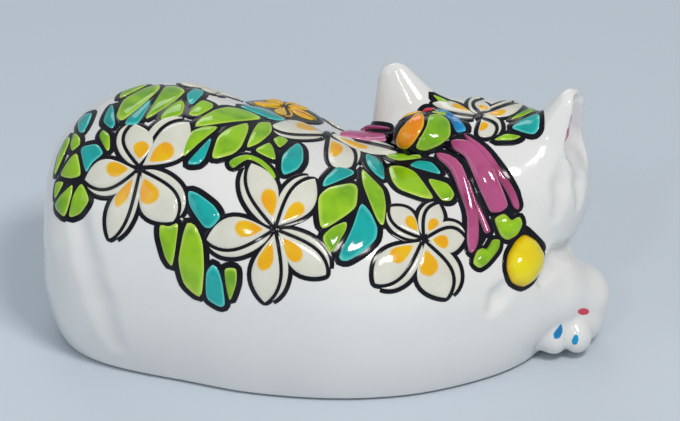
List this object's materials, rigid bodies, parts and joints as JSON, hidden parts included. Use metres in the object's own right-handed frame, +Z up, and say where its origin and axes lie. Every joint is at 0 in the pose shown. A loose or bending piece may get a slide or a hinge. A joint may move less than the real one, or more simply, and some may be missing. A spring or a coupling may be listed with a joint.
{
  "type": "ceramic cat figurine",
  "caption": "Glazed ceramic figurine of a lying cat with its head turned, raised enamel flowers, leaves and a knotted ribbon with a bead, on a flat unglazed foot.",
  "frame": {"origin": "centre of the bounding box at the level the figurine rests on", "axes": "+X along the length from the rump to the forepaws, +Y from the back to the belly, +Z up"},
  "size_m": [0.2015, 0.117, 0.0979],
  "materials": {
    "white_glaze": "gloss",
    "bisque": "matt, unglazed",
    "petal_enamel": "gloss",
    "green_enamel": "gloss",
    "teal_enamel": "gloss",
    "pink_enamel": "gloss",
    "orange_enamel": "gloss",
    "yellow_enamel": "gloss"
  },
  "bodies": {
    "root": {"base_slab": "bisque", "torso_shell": "white_glaze", "head_shell": "white_glaze", "ear_left": "white_glaze", "ear_right": "white_glaze", "haunch": "white_glaze", "hind_paw": "white_glaze", "foreleg_near": "white_glaze", "forepaw_near": "white_glaze", "foreleg_far": "white_glaze", "tail": "white_glaze", "knot": "orange_enamel", "ribbon_band": "pink_enamel", "ribbon_tail_upper": "pink_enamel", "ribbon_tail_lower": "pink_enamel", "ribbon_tip_upper": "green_enamel", "ribbon_tip_lower": "green_enamel", "bell": "yellow_enamel", "flower_rump": "petal_enamel", "flower_flank": "petal_enamel", "flower_shoulder": "petal_enamel", "flower_saddle": "petal_enamel", "flower_crown": "petal_enamel", "flower_crest": "petal_enamel", "flower_haunch": "petal_enamel", "leaf_rump": "green_enamel", "leaf_hanging": "green_enamel", "leaf_crest": "green_enamel", "leaf_flank": "teal_enamel", "leaf_shoulder": "green_enamel", "leaf_crown": "teal_enamel"}
  },
  "joints": []
}
